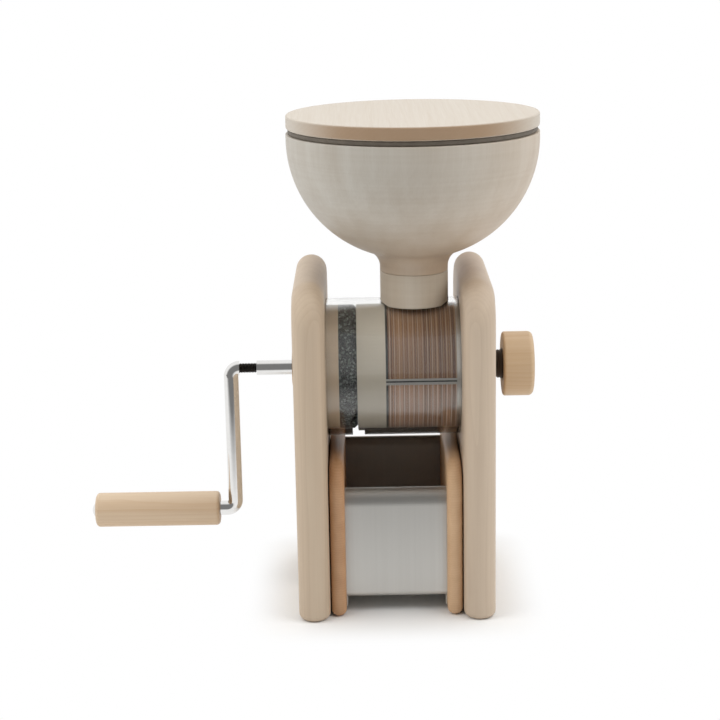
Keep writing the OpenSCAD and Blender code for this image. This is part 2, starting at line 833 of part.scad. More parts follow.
// Compression spring: one round wire wound without its ends touching the washer or the pocket
module gap_spring() {
    wire_z = spring_wire_r + spring_end_gap;
    lead = (spring_l - 2 * wire_z) / spring_turns;
    wire = arc([spring_mean_r, wire_z], spring_wire_r, 0, 360 - 360 / spring_sides, spring_sides - 1);
    echo(least_gap_between_spring_coils = lead - spring_wire_d);
    color(steel) on_axis(spring_x) helix(wire, spring_turns, lead, spring_rings);
}

module crank_stud() {
    color(black_steel) bar(stud_x, stud_l + stud_depth, stud_r);
}

// Bent rod: bend at the shaft, arm hanging down, bend outwards and the grip's spindle
module crank_rod() {
    arm_l = crank_throw - 2 * crank_bend_r;
    neck_x = grip_x + grip_l + grip_play;
    color(steel) {
        translate([stud_x, 0, axis_z - crank_bend_r]) rotate([90, 0, 180]) rotate_extrude(angle = 90)
            translate([crank_bend_r, 0]) circle(rod_r);
        translate([arm_x, 0, grip_axis_z + crank_bend_r]) cylinder(r = rod_r, h = arm_l);
        translate([arm_x - crank_bend_r, 0, grip_axis_z + crank_bend_r]) rotate([-90, 0, 0])
            rotate_extrude(angle = 90) translate([crank_bend_r, 0]) circle(rod_r);
        bar(neck_x, grip_neck_l - grip_play, rod_r, 0, grip_axis_z);
        bar(grip_x - grip_play, grip_l + 2 * grip_play, spindle_in_grip_r, 0, grip_axis_z);
    }
}

// Domed cap on the spindle's end, with a flat face towards the grip
module grip_cap() {
    r = grip_cap_d / 2;
    dome_r = (r * r + grip_cap_h * grip_cap_h) / (2 * grip_cap_h);
    half_angle = asin(r / dome_r);
    outline = concat([[0, 0]], arc([0, grip_cap_h - dome_r], dome_r, 90 - half_angle, 90, 10));
    color(steel) translate([grip_x - grip_play, 0, grip_axis_z]) rotate([0, -90, 0])
        rotate_extrude() polygon(outline);
}

module crank_grip() {
    outline = concat(
        [[spindle_in_grip_r + run_clear, 0]],
        arc([grip_r - grip_end_r, grip_end_r], grip_end_r, -90, 0, 8),
        arc([grip_r - grip_end_r, grip_l - grip_end_r], grip_end_r, 0, 90, 8),
        [[spindle_in_grip_r + run_clear, grip_l]]
    );
    color(beech) on_axis(grip_x, 0, grip_axis_z) rotate_extrude() polygon(outline);
}

module adjusting_spindle() {
    color(steel) bar(spindle_x, knob_x + spindle_in_knob - spindle_x, spindle_r);
}

// Turned knob with an eased back edge, a rounded rim, a slightly domed face and a pocket for the nut
module adjusting_knob() {
    rim_r = knob_r - knob_edge_r;
    rim_z = knob_l - knob_dome - knob_edge_r;
    dome_r = (rim_r * rim_r + knob_dome * knob_dome) / (2 * knob_dome);
    dome_start = acos(rim_r / dome_r);
    outline = concat(
        [[0, 0]],
        arc([knob_r - knob_back_r, knob_back_r], knob_back_r, -90, 0, 6),
        arc([rim_r, rim_z], knob_edge_r, 0, dome_start, 8),
        arc([0, knob_l - dome_r], dome_r, dome_start, 90, 6)
    );
    color(beech) difference() {
        on_axis(knob_x) rotate_extrude() polygon(outline);
        bar(knob_x - past, knob_pocket_depth + past, knob_pocket_r);
        bar(knob_x - past, spindle_in_knob + past, spindle_r + run_clear);
    }
}

// Places for the screws through the tub's flanges into one bin side
module bin_screw_places() {
    from_y = tub_front_y + bin_screw_margin;
    to_y = tub_back_y - bin_screw_margin;
    for (y = [from_y, (from_y + to_y) / 2, to_y])
        translate([0, y, tub_floor_z - tub_flange_h / 2]) children();
}

// Shanks of the bin screws on both sides
module bin_screw_shanks(clear) {
    reach = bin_screw_depth + clear;
    bin_screw_places() {
        bar(tub_x - reach, reach + tub_wall, bin_screw_r + clear, 0, 0);
        bar(tub_x + tub_w - tub_wall, reach + tub_wall, bin_screw_r + clear, 0, 0);
    }
}

module bin_side(x) {
    color(warm_beech) difference() {
        translate([x + bin_side_t / 2, bin_mid_y, 0])
            half_round_board(bin_side_t, bin_d, bin_side_h, bin_corner_r, bin_foot_r);
        bin_screw_shanks(run_clear);
    }
}

module bin_left_side() {
    bin_side(bin_x);
}

module bin_right_side() {
    bin_side(bin_x + bin_w - bin_side_t);
}

// One face of the tub's bent sheet, from the back rim's roll round the floor to the front rim's roll
function tub_face(inset) =
    let (
        roll = tub_roll_r - inset,
        bend = tub_bend_r - inset,
        bend_z = tub_floor_z + tub_bend_r,
        front_roll_z = tub_rim_z - tub_roll_r,
        back_roll_z = front_roll_z + tub_back_rise
    )
    concat(
        arc([tub_back_y - tub_roll_r, back_roll_z], roll, 90, 0),
        arc([tub_back_y - tub_bend_r, bend_z], bend, 0, -90),
        arc([tub_front_y + tub_bend_r, bend_z], bend, 270, 180),
        arc([tub_front_y + tub_roll_r, front_roll_z], roll, 180, 90)
    );

// Steel sheet bent to a tub between the bin's sides, with a flange along each side under its floor
module bin_tub() {
    inner = tub_face(tub_wall);
    sheet = concat(tub_face(0), [for (i = [len(inner) - 1:-1:0]) inner[i]]);
    flange_l = tub_back_y - tub_front_y - 2 * tub_bend_r;
    color(steel) difference() {
        union() {
            translate([tub_x, 0, 0]) rotate([90, 0, 90]) linear_extrude(tub_w) polygon(sheet);
            for (x = [tub_x, tub_x + tub_w - tub_wall])
                translate([x, tub_front_y + tub_bend_r, tub_floor_z - tub_flange_h])
                    cube([tub_wall, flange_l, tub_flange_h + tub_wall]);
        }
        bin_screw_shanks(run_clear);
    }
}

module bin_screws() {
    color(steel) {
        bin_screw_shanks(0);
        bin_screw_places() {
            bar(tub_x + tub_wall, bin_screw_head_h, bin_screw_head_r, 0, 0);
            bar(tub_x + tub_w - tub_wall - bin_screw_head_h, bin_screw_head_h, bin_screw_head_r, 0, 0);
        }
    }
}

crank_side_board();
knob_side_board();
rear_rail();
rail_screws();
cover_tube();
crank_side_bush();
stone_holder();
fixed_stone();
holder_dowels();
housing_seal();
feed_housing_upper();
feed_housing_lower();
upper_joint_strips();
joint_gasket();
lower_joint_strips();
housing_end_ring();
housing_bush();
housing_screws();
adjuster_nut();
hopper_collar();
hopper_bowl();
lid_disc();
lid_plug();
lid_seal();
thrust_ball();
main_shaft();
drive_disc();
drive_pin();
running_stone();
feed_auger();
spring_washer();
gap_spring();
crank_stud();
crank_rod();
grip_cap();
crank_grip();
adjusting_spindle();
adjusting_knob();
bin_left_side();
bin_right_side();
bin_tub();
bin_screws();
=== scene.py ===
import math

import bmesh
import bpy
from mathutils import Matrix, Vector


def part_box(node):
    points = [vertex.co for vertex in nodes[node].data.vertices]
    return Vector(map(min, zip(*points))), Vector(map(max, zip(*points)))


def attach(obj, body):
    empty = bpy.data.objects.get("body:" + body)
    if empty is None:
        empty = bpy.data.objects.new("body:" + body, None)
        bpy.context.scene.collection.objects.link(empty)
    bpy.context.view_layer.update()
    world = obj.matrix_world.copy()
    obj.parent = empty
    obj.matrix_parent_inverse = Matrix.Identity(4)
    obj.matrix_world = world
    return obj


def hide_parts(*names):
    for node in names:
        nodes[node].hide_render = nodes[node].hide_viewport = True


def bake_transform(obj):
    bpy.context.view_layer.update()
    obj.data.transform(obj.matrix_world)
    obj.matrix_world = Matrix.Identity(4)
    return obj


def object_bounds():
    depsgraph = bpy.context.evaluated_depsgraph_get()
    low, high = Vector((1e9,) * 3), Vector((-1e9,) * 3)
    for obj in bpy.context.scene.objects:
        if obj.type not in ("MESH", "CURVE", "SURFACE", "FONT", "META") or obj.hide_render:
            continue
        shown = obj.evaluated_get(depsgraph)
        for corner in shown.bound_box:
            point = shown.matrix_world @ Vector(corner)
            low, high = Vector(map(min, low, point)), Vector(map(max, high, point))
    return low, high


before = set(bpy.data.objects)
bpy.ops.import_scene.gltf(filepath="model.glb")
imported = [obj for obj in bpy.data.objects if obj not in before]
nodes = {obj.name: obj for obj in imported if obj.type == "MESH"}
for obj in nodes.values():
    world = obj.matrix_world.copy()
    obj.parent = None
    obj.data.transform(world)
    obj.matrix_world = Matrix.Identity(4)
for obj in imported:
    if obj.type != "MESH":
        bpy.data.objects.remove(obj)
cad_low, cad_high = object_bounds()
scene = bpy.context.scene

# Camera
# A short telephoto lens at about one and a half metres, level with a standing photographer's
# chest, looks down on the mill from the front and leans a little to one side.
MM = 0.001
lens_mm = 87.68
far_clip = 100
camera_place = Vector((44.42, -1374.68, 542.61)) * MM
camera_pitch = math.radians(14.31)
camera_yaw = math.radians(-0.22)
camera_roll = math.radians(1.06)

level_right = Vector((math.cos(camera_yaw), -math.sin(camera_yaw), 0))
forward = Vector((
    math.sin(camera_yaw) * math.cos(camera_pitch),
    math.cos(camera_yaw) * math.cos(camera_pitch),
    -math.sin(camera_pitch),
))
level_down = forward.cross(level_right)
picture_right = math.cos(camera_roll) * level_right + math.sin(camera_roll) * level_down
picture_down = math.cos(camera_roll) * level_down - math.sin(camera_roll) * level_right

camera = bpy.data.objects.new("camera", bpy.data.cameras.new("camera"))
camera.data.lens = lens_mm
camera.data.clip_end = far_clip
turn = Matrix((picture_right, -picture_down, -forward)).transposed()
camera.matrix_world = Matrix.Translation(camera_place) @ turn.to_4x4()
scene.collection.objects.link(camera)
scene.camera = camera
scene.view_settings.view_transform = "Standard"


# Studio
# A white table in a white tent that is open and dimmer towards the camera, with a soft lamp high at
# either side and one overhead at the back. Polished metal shows the dim side most.
def linear(code):
    """The linear colour of an sRGB hex value, with full alpha."""
    channels = [int(code[i:i + 2], 16) / 255 for i in (1, 3, 5)]
    return [c / 12.92 if c <= 0.04045 else ((c + 0.055) / 1.055) ** 2.4 for c in channels] + [1.0]


def add(tree, kind, inputs=None, **settings):
    """Adds a node with its settings, and sets or links each input that is given."""
    node = tree.nodes.new(kind)
    for name, value in settings.items():
        setattr(node, name, value)
    for key, value in (inputs or {}).items():
        if isinstance(value, bpy.types.NodeSocket):
            tree.links.new(value, node.inputs[key])
        else:
            node.inputs[key].default_value = value
    return node


def finish_of(name):
    """A new material with its node tree and its shader."""
    material = bpy.data.materials.new(name)
    material.use_nodes = True
    tree = material.node_tree
    return material, tree, tree.nodes["Principled BSDF"]


# A Mix node has several sockets of one name, so they are picked by their places: its share, the two
# numbers or the two colours that it mixes, and the colour that comes out
MIX_SHARE = 0
MIX_LOW = 2
MIX_HIGH = 3
MIX_COLOUR = 6
MIX_TINT = 7
MIXED = 2

tent_level = 0.6
tent_top_gain = 0.2
open_side = 0.36
open_side_in_metal = 0.22
world = bpy.data.worlds.new("studio_sky")
world.use_nodes = True
scene.world = world
tree = world.node_tree
direction = add(tree, "ShaderNodeTexCoord").outputs["Generated"]
part = add(tree, "ShaderNodeSeparateXYZ", {0: direction})
height = add(tree, "ShaderNodeMapRange", {
    "Value": part.outputs["Z"], "From Min": -0.2, "From Max": 1.0,
    "To Min": tent_level, "To Max": tent_level + tent_top_gain,
})
front = add(tree, "ShaderNodeMapRange", {
    "Value": part.outputs["Y"], "From Min": -0.8, "From Max": 0.0, "To Min": open_side, "To Max": 1.0,
})
tent = add(tree, "ShaderNodeMath", {0: height.outputs[0], 1: front.outputs[0]}, operation="MULTIPLY")
room = add(tree, "ShaderNodeMapRange", {
    "Value": part.outputs["Y"], "From Min": -0.45, "From Max": -0.05,
    "To Min": open_side_in_metal, "To Max": 1.0,
})
rays = add(tree, "ShaderNodeLightPath")
mirrored = add(tree, "ShaderNodeMix", {
    MIX_SHARE: rays.outputs["Is Glossy Ray"], MIX_LOW: tent.outputs[0], MIX_HIGH: room.outputs[0],
})
plain = add(tree, "ShaderNodeMath", {
    0: rays.outputs["Is Camera Ray"], 1: rays.outputs["Is Transmission Ray"],
}, operation="MAXIMUM")
strength = add(tree, "ShaderNodeMix", {
    MIX_SHARE: plain.outputs[0], MIX_LOW: mirrored.outputs[0], MIX_HIGH: 1.0,
})
tree.links.new(strength.outputs[0], tree.nodes["Background"].inputs["Strength"])
tree.nodes["Background"].inputs["Color"].default_value = linear("#FFFFFF")

# The table's matt paper keeps the mill's shadow under it and close by, and turns into the white backdrop
# further off. In metal it darkens towards the camera, like the tent's open side.
table_reach = 12.0
table_drop = 0.02 * MM
shadow_reach = 45 * MM
dim_in_metal_y = -0.53
white_in_metal_y = -0.22
corners = [
    (-table_reach, -table_reach, 0),
    (table_reach, -table_reach, 0),
    (table_reach, table_reach, 0),
    (-table_reach, table_reach, 0),
]
table_mesh = bpy.data.meshes.new("table")
table_mesh.from_pydata(corners, [], [(0, 1, 2, 3)])
table = bpy.data.objects.new("table", table_mesh)
table.location.z = cad_low.z - table_drop
scene.collection.objects.link(table)
material, tree, shader = finish_of("white_table_paper")
shader.inputs["Base Color"].default_value = linear("#F6F6F5")
shader.inputs["Roughness"].default_value = 0.9
shader.inputs["Specular IOR Level"].default_value = 0.1
foot_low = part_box("crank_side_board")[0]
foot_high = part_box("knob_side_board")[1]
foot_middle = (foot_low + foot_high) / 2
foot_half = (foot_high - foot_low) / 2
place = add(tree, "ShaderNodeTexCoord").outputs["Object"]
offset = add(tree, "ShaderNodeVectorMath", {0: place, 1: (foot_middle.x, foot_middle.y, 0)},
             operation="SUBTRACT")
offset = add(tree, "ShaderNodeVectorMath", {0: offset.outputs[0]}, operation="ABSOLUTE")
offset = add(tree, "ShaderNodeVectorMath", {0: offset.outputs[0], 1: (foot_half.x, foot_half.y, 0)},
             operation="SUBTRACT")
offset = add(tree, "ShaderNodeVectorMath", {0: offset.outputs[0], 1: (0, 0, 0)}, operation="MAXIMUM")
away = add(tree, "ShaderNodeVectorMath", {0: offset.outputs[0]}, operation="LENGTH")
fade = add(tree, "ShaderNodeMapRange", {
    "Value": away.outputs["Value"], "From Min": 0.0, "From Max": shadow_reach,
    "To Min": 0.0, "To Max": 1.0,
}, interpolation_type="SMOOTHSTEP")
rays = add(tree, "ShaderNodeLightPath")
seen = add(tree, "ShaderNodeMath", {0: rays.outputs["Is Camera Ray"], 1: rays.outputs["Is Glossy Ray"]},
           operation="MAXIMUM")
seen = add(tree, "ShaderNodeMath", {0: seen.outputs[0], 1: rays.outputs["Is Transmission Ray"]},
           operation="MAXIMUM")
share = add(tree, "ShaderNodeMath", {0: fade.outputs[0], 1: seen.outputs[0]}, operation="MULTIPLY")
lead = add(tree, "ShaderNodeSeparateXYZ", {0: place})
near = add(tree, "ShaderNodeMapRange", {
    "Value": lead.outputs["Y"], "From Min": dim_in_metal_y, "From Max": white_in_metal_y,
    "To Min": open_side_in_metal, "To Max": 1.0,
})
level = add(tree, "ShaderNodeMix", {
    MIX_SHARE: rays.outputs["Is Glossy Ray"], MIX_LOW: 1.0, MIX_HIGH: near.outputs[0],
})
white = add(tree, "ShaderNodeEmission", {"Color": linear("#FFFFFF"), "Strength": level.outputs[0]})
paper = add(tree, "ShaderNodeMixShader", {0: share.outputs[0], 1: shader.outputs[0], 2: white.outputs[0]})
tree.links.new(paper.outputs[0], tree.nodes["Material Output"].inputs["Surface"])
table_mesh.materials.append(material)

middle = (cad_low + cad_high) / 2


def soft_lamp(name, place, size, watts):
    """A large square lamp that points at the mill and doesn't show in polished surfaces."""
    lamp = bpy.data.lights.new(name, "AREA")
    lamp.size = size
    lamp.energy = watts
    holder = bpy.data.objects.new(name, lamp)
    holder.location = place
    holder.rotation_euler = (middle - holder.location).to_track_quat("-Z", "Y").to_euler()
    holder.visible_glossy = False
    scene.collection.objects.link(holder)


soft_lamp("left_lamp", Vector((-1.0, -0.45, 1.3)), size=0.9, watts=9)
soft_lamp("right_lamp", Vector((1.1, -0.45, 1.3)), size=0.9, watts=9)
soft_lamp("back_lamp", Vector((0.1, 0.3, 1.7)), size=1.2, watts=5)

# Side boards and rear rail
# Two planed beech boards with half-round edges stand upright, their grain vertical, and a beech
# rail screwed between them at the back ties them together. All are rubbed with oil, for a soft sheen.
GRAIN_AXES = {"X": ("Y", "Z", "X"), "Y": ("Z", "X", "Y"), "Z": ("X", "Y", "Z")}
sway_mm = 8
wave_width_mm = 25
wave_length_mm = 166.7
late_wood_power = 2.5
mean_late_wood = 0.28
mean_bands_and_fibres = 0.68
fibre_share = 0.35
groove_length_mm = 125
groove_share = 0.5
groove_relief = 2.0
contrast = 0.3
# The heart tint is warmer heartwood, and its paler tone is painted light that lifts a shaded neck
heart_tint_and_painted_light = "#DDBA95"
heart_and_painted_light_share = 0.55
heart_core = 0.2


def grain_scale(width_mm, length_mm):
    """How often a pattern repeats in a metre, across the trunk both ways and along it."""
    across = 1 / (width_mm * MM)
    return (across, across, 1 / (length_mm * MM))


def beech(name, along, pale, deep, pith_mm, figure=0.5, end=0.3, ring_mm=3.2, tool_mm=None,
          heart_mm=None, roughness=0.46, ring_share=0.25, end_tint="#80664C", end_spread=(0.2, 1.0)):
    """Steamed beech: growth rings round the pith, soft bands and fine fibres along the trunk, darker end
    grain, warmer heartwood within heart_mm of the pith where it is given, whose paler tone is painted light,
    and turning lines where tool_mm is given. The figure sets how strongly the wood is marked, and ring_share
    how much of that is rings."""
    material, tree, shader = finish_of(name)
    coordinates = add(tree, "ShaderNodeTexCoord")
    place = coordinates.outputs["Object"]
    part = add(tree, "ShaderNodeSeparateXYZ", {0: place})
    a, b, c = [part.outputs[axis] for axis in GRAIN_AXES[along]]
    trunk = add(tree, "ShaderNodeCombineXYZ", {0: a, 1: b, 2: c}).outputs[0]

    # Rings by the distance from the pith, which wavers by a few millimetres in slow waves
    wave = grain_scale(wave_width_mm, wave_length_mm)
    slow = add(tree, "ShaderNodeVectorMath", {0: trunk, 1: wave}, operation="MULTIPLY")
    sway = add(tree, "ShaderNodeTexNoise", {"Vector": slow.outputs[0], "Scale": 1.0, "Detail": 2.0})
    shift = add(tree, "ShaderNodeVectorMath", {
        0: sway.outputs["Color"], 1: (sway_mm * MM, sway_mm * MM, 0),
    }, operation="MULTIPLY")
    swayed = add(tree, "ShaderNodeVectorMath", {0: trunk, 1: shift.outputs[0]})
    flat = add(tree, "ShaderNodeVectorMath", {0: swayed.outputs[0], 1: (1, 1, 0)}, operation="MULTIPLY")
    pith = Vector((pith_mm[0], pith_mm[1], 0)) * MM
    ray = add(tree, "ShaderNodeVectorMath", {0: flat.outputs[0], 1: pith}, operation="DISTANCE")
    count = add(tree, "ShaderNodeMath", {0: ray.outputs["Value"], 1: 1 / (ring_mm * MM)},
                operation="MULTIPLY")
    ring = add(tree, "ShaderNodeMath", {0: count.outputs[0]}, operation="FRACT")
    late = add(tree, "ShaderNodeMath", {0: ring.outputs[0], 1: late_wood_power}, operation="POWER")

    # Fibres 1 mm wide and 60 mm long, coarser than real ones so that they show, and soft bands 14 mm
    # wide and 250 mm long
    thread = add(tree, "ShaderNodeVectorMath", {0: trunk, 1: grain_scale(1, 60)}, operation="MULTIPLY")
    fibre = add(tree, "ShaderNodeTexNoise", {"Vector": thread.outputs[0], "Scale": 1.0, "Detail": 2.0})
    broad = add(tree, "ShaderNodeVectorMath", {0: trunk, 1: grain_scale(14, 250)}, operation="MULTIPLY")
    band = add(tree, "ShaderNodeTexNoise", {"Vector": broad.outputs[0], "Scale": 1.0, "Detail": 2.0})
    marks = add(tree, "ShaderNodeMath", {0: late.outputs[0], 1: ring_share, 2: band.outputs[0]},
                operation="MULTIPLY_ADD")
    marks = add(tree, "ShaderNodeMath", {0: fibre.outputs[0], 1: fibre_share, 2: marks.outputs[0]},
                operation="MULTIPLY_ADD")
    relief = fibre
    usual = mean_bands_and_fibres + mean_late_wood * ring_share

    # Turning lines round an upright axis are finer than the picture can show, so they are drawn a few
    # millimetres apart
    if tool_mm:
        lathe = add(tree, "ShaderNodeVectorMath", {0: place, 1: grain_scale(groove_length_mm, tool_mm)},
                    operation="MULTIPLY")
        groove = add(tree, "ShaderNodeTexNoise", {"Vector": lathe.outputs[0], "Scale": 1.0, "Detail": 3.0})
        relief = add(tree, "ShaderNodeMath", {0: groove.outputs[0], 1: groove_relief, 2: fibre.outputs[0]},
                     operation="MULTIPLY_ADD")
        marks = add(tree, "ShaderNodeMath", {0: groove.outputs[0], 1: groove_share, 2: marks.outputs[0]},
                    operation="MULTIPLY_ADD")
        usual += groove_share / 2
    spread = contrast / figure
    depth = add(tree, "ShaderNodeMapRange", {
        "Value": marks.outputs[0], "From Min": usual - spread, "From Max": usual + spread,
        "To Min": 0.0, "To Max": 1.0,
    })
    wood = add(tree, "ShaderNodeMix", {
        MIX_SHARE: depth.outputs[0], MIX_COLOUR: linear(pale), MIX_TINT: linear(deep),
    }, data_type="RGBA")
    # Warmer heartwood near the pith, whose paler tone is painted light
    if heart_mm:
        heart_and_painted_light = add(tree, "ShaderNodeMapRange", {
            "Value": ray.outputs["Value"], "From Min": heart_mm * heart_core * MM, "From Max": heart_mm * MM,
            "To Min": heart_and_painted_light_share, "To Max": 0.0,
        })
        wood = add(tree, "ShaderNodeMix", {
            MIX_SHARE: heart_and_painted_light.outputs[0], MIX_COLOUR: wood.outputs[MIXED], MIX_TINT: linear(heart_tint_and_painted_light),
        }, data_type="RGBA")

    # End grain drinks more oil, so it is darker where the surface faces along the trunk
    facing = add(tree, "ShaderNodeSeparateXYZ", {0: coordinates.outputs["Normal"]})
    cut = add(tree, "ShaderNodeMath", {0: facing.outputs[along], 1: facing.outputs[along]},
              operation="MULTIPLY")
    soak = add(tree, "ShaderNodeMapRange", {
        "Value": cut.outputs[0], "From Min": end_spread[0], "From Max": end_spread[1],
        "To Min": 0.0, "To Max": end,
    }, interpolation_type="SMOOTHSTEP")
    shade = add(tree, "ShaderNodeMix", {
        MIX_SHARE: soak.outputs[0], MIX_COLOUR: wood.outputs[MIXED], MIX_TINT: linear(end_tint),
    }, data_type="RGBA")
    tree.links.new(shade.outputs[MIXED], shader.inputs["Base Color"])

    bump = add(tree, "ShaderNodeBump", {
        "Height": relief.outputs[0], "Strength": 0.35, "Distance": 0.06 * MM,
    })
    tree.links.new(bump.outputs[0], shader.inputs["Normal"])
    gloss = add(tree, "ShaderNodeMapRange", {
        "Value": fibre.outputs[0], "From Min": 0.2, "From Max": 0.8,
        "To Min": roughness - 0.05, "To Max": roughness + 0.07,
    })
    tree.links.new(gloss.outputs[0], shader.inputs["Roughness"])
    return material


def dress(material, *names):
    """Gives CAD nodes a material of their own."""
    for name in names:
        nodes[name].data.materials.clear()
        nodes[name].data.materials.append(material)


crank_side_wood = beech("oiled_beech_crank_side", "Z", "#D3C0A8", "#BDA78F", (-60, 140), end=0.1)
dress(crank_side_wood, "crank_side_board")
knob_side_wood = beech("oiled_beech_knob_side", "Z", "#D5C3AD", "#C0AB95", (240, 160), end=0.1)
dress(knob_side_wood, "knob_side_board")
dress(beech("oiled_beech_rail", "X", "#CBB69B", "#B4997B", (90, -40)), "rear_rail")
ease = nodes["rear_rail"].modifiers.new("eased_edges", "BEVEL")
ease.width = 1.2 * MM
ease.segments = 3

patch_mm = 4.545
streak_stretch = 120


def metal(name, colour, roughness, streak_mm=None, along="Z", uneven=0.2):
    """A bare metal whose polish varies along its brush lines, or in soft patches where it has none."""
    material, tree, shader = finish_of(name)
    shader.inputs["Metallic"].default_value = 1.0
    place = add(tree, "ShaderNodeTexCoord").outputs["Object"]
    across = 1 / ((streak_mm or patch_mm) * MM)
    stretch = Vector((across, across, across))
    if streak_mm:
        stretch["XYZ".index(along)] /= streak_stretch
    line = add(tree, "ShaderNodeVectorMath", {0: place, 1: stretch}, operation="MULTIPLY")
    brush = add(tree, "ShaderNodeTexNoise", {"Vector": line.outputs[0], "Scale": 1.0, "Detail": 3.0})
    gloss = add(tree, "ShaderNodeMapRange", {
        "Value": brush.outputs[0], "From Min": 0.25, "From Max": 0.75,
        "To Min": roughness * (1 - uneven), "To Max": roughness * (1 + uneven),
    })
    tree.links.new(gloss.outputs[0], shader.inputs["Roughness"])
    dull = [channel * (1 - uneven / 2) for channel in linear(colour)[:3]] + [1.0]
    tint = add(tree, "ShaderNodeMix", {
        MIX_SHARE: brush.outputs[0], MIX_COLOUR: linear(colour), MIX_TINT: dull,
    }, data_type="RGBA")
    tree.links.new(tint.outputs[MIXED], shader.inputs["Base Color"])
    return material


# Zinc plate is a pale, slightly cloudy grey
plain_steel = metal("zinc_plated_steel", "#C9C9C4", 0.3)
dress(plain_steel, "rail_screws", "housing_screws", "holder_dowels", "drive_pin", "spring_washer")

# Clear cover tube
# A cast acrylic tube, cut square and polished, let into turned seats in both boards. It has a flat
# seat for the hopper's collar on top and a slot for the flour underneath. Handling dulls it in patches.
handling_mm = 25
material, tree, shader = finish_of("cast_acrylic")
shader.inputs["Base Color"].default_value = linear("#FCFCFB")
# Just short of full transmission, the near-white base adds a faint diffuse share: painted light that lifts
# the walls where light passing through bounces too often to come out
shader.inputs["Transmission Weight"].default_value = 0.988
shader.inputs["IOR"].default_value = 1.49
place = add(tree, "ShaderNodeTexCoord").outputs["Object"]
handling = add(tree, "ShaderNodeTexNoise", {
    "Vector": place, "Scale": 1 / (handling_mm * MM), "Detail": 4.0,
})
polish = add(tree, "ShaderNodeMapRange", {
    "Value": handling.outputs[0], "From Min": 0.35, "From Max": 0.75, "To Min": 0.01, "To Max": 0.05,
})
tree.links.new(polish.outputs[0], shader.inputs["Roughness"])
dress(material, "cover_tube")

# Drive disc and stone holder
# The disc is turned from beech and the holder from paler, greyer maple, both left bare and matt, with
# the grain along the axis.
disc_wood = beech("bare_beech_disc", "X", "#EAD5B8", "#D8BE9F", (100, 260), end=0.2, ring_mm=2.2,
                  roughness=0.6)
dress(disc_wood, "drive_disc")
holder_wood = beech("bare_maple_holder", "X", "#DED6C5", "#CFC5B2", (100, 260), figure=0.4, end=0.2,
                    ring_mm=2.2, roughness=0.6)
dress(holder_wood, "stone_holder")

# Millstones
# Two discs of fine dark granite, ground flat and matt, whose rims show grey, black and many small pale
# crystals.
crystal_mm = 1.35
grit_mm = 3
crystal_weight = 0.8
material, tree, shader = finish_of("dark_granite")
place = add(tree, "ShaderNodeTexCoord").outputs["Object"]
crystal = add(tree, "ShaderNodeTexVoronoi", {"Vector": place, "Scale": 1 / (crystal_mm * MM)})
speck = add(tree, "ShaderNodeSeparateColor", {0: crystal.outputs["Color"]})
grit = add(tree, "ShaderNodeTexNoise", {"Vector": place, "Scale": 1 / (grit_mm * MM), "Detail": 2.0})
mixed = add(tree, "ShaderNodeMath", {0: speck.outputs[0], 1: crystal_weight, 2: grit.outputs[0]},
            operation="MULTIPLY_ADD")
grey = add(tree, "ShaderNodeMapRange", {
    "Value": mixed.outputs[0], "From Min": 0.4, "From Max": 1.3, "To Min": 0.0, "To Max": 1.0,
})
stone = add(tree, "ShaderNodeMix", {
    MIX_SHARE: grey.outputs[0], MIX_COLOUR: linear("#050607"), MIX_TINT: linear("#3A413F"),
}, data_type="RGBA")
quartz = add(tree, "ShaderNodeMapRange", {
    "Value": speck.outputs[1], "From Min": 0.62, "From Max": 0.95, "To Min": 0.0, "To Max": 0.7,
})
stone = add(tree, "ShaderNodeMix", {
    MIX_SHARE: quartz.outputs[0], MIX_COLOUR: stone.outputs[MIXED], MIX_TINT: linear("#939C97"),
}, data_type="RGBA")
tree.links.new(stone.outputs[MIXED], shader.inputs["Base Color"])
shader.inputs["Roughness"].default_value = 0.8
pits = add(tree, "ShaderNodeBump", {"Height": speck.outputs[2], "Strength": 0.3, "Distance": 0.1 * MM})
tree.links.new(pits.outputs[0], shader.inputs["Normal"])
dress(material, "running_stone", "fixed_stone")

# Feed housing
# A block glued up from thin beech veneers, soaked in dark resin, turned round and sawn in two along its
# middle, so the paler face of every fourth veneer stands as a fine line across the axis. The lower half is a
# paler copy of the upper, painted light that stands in for light thrown up from the table onto its underside.
group_mm = 3.7
veneer_mm = group_mm / 4
line_share = 0.14
wander_mm = 0.5
wander_patch_mm = 18


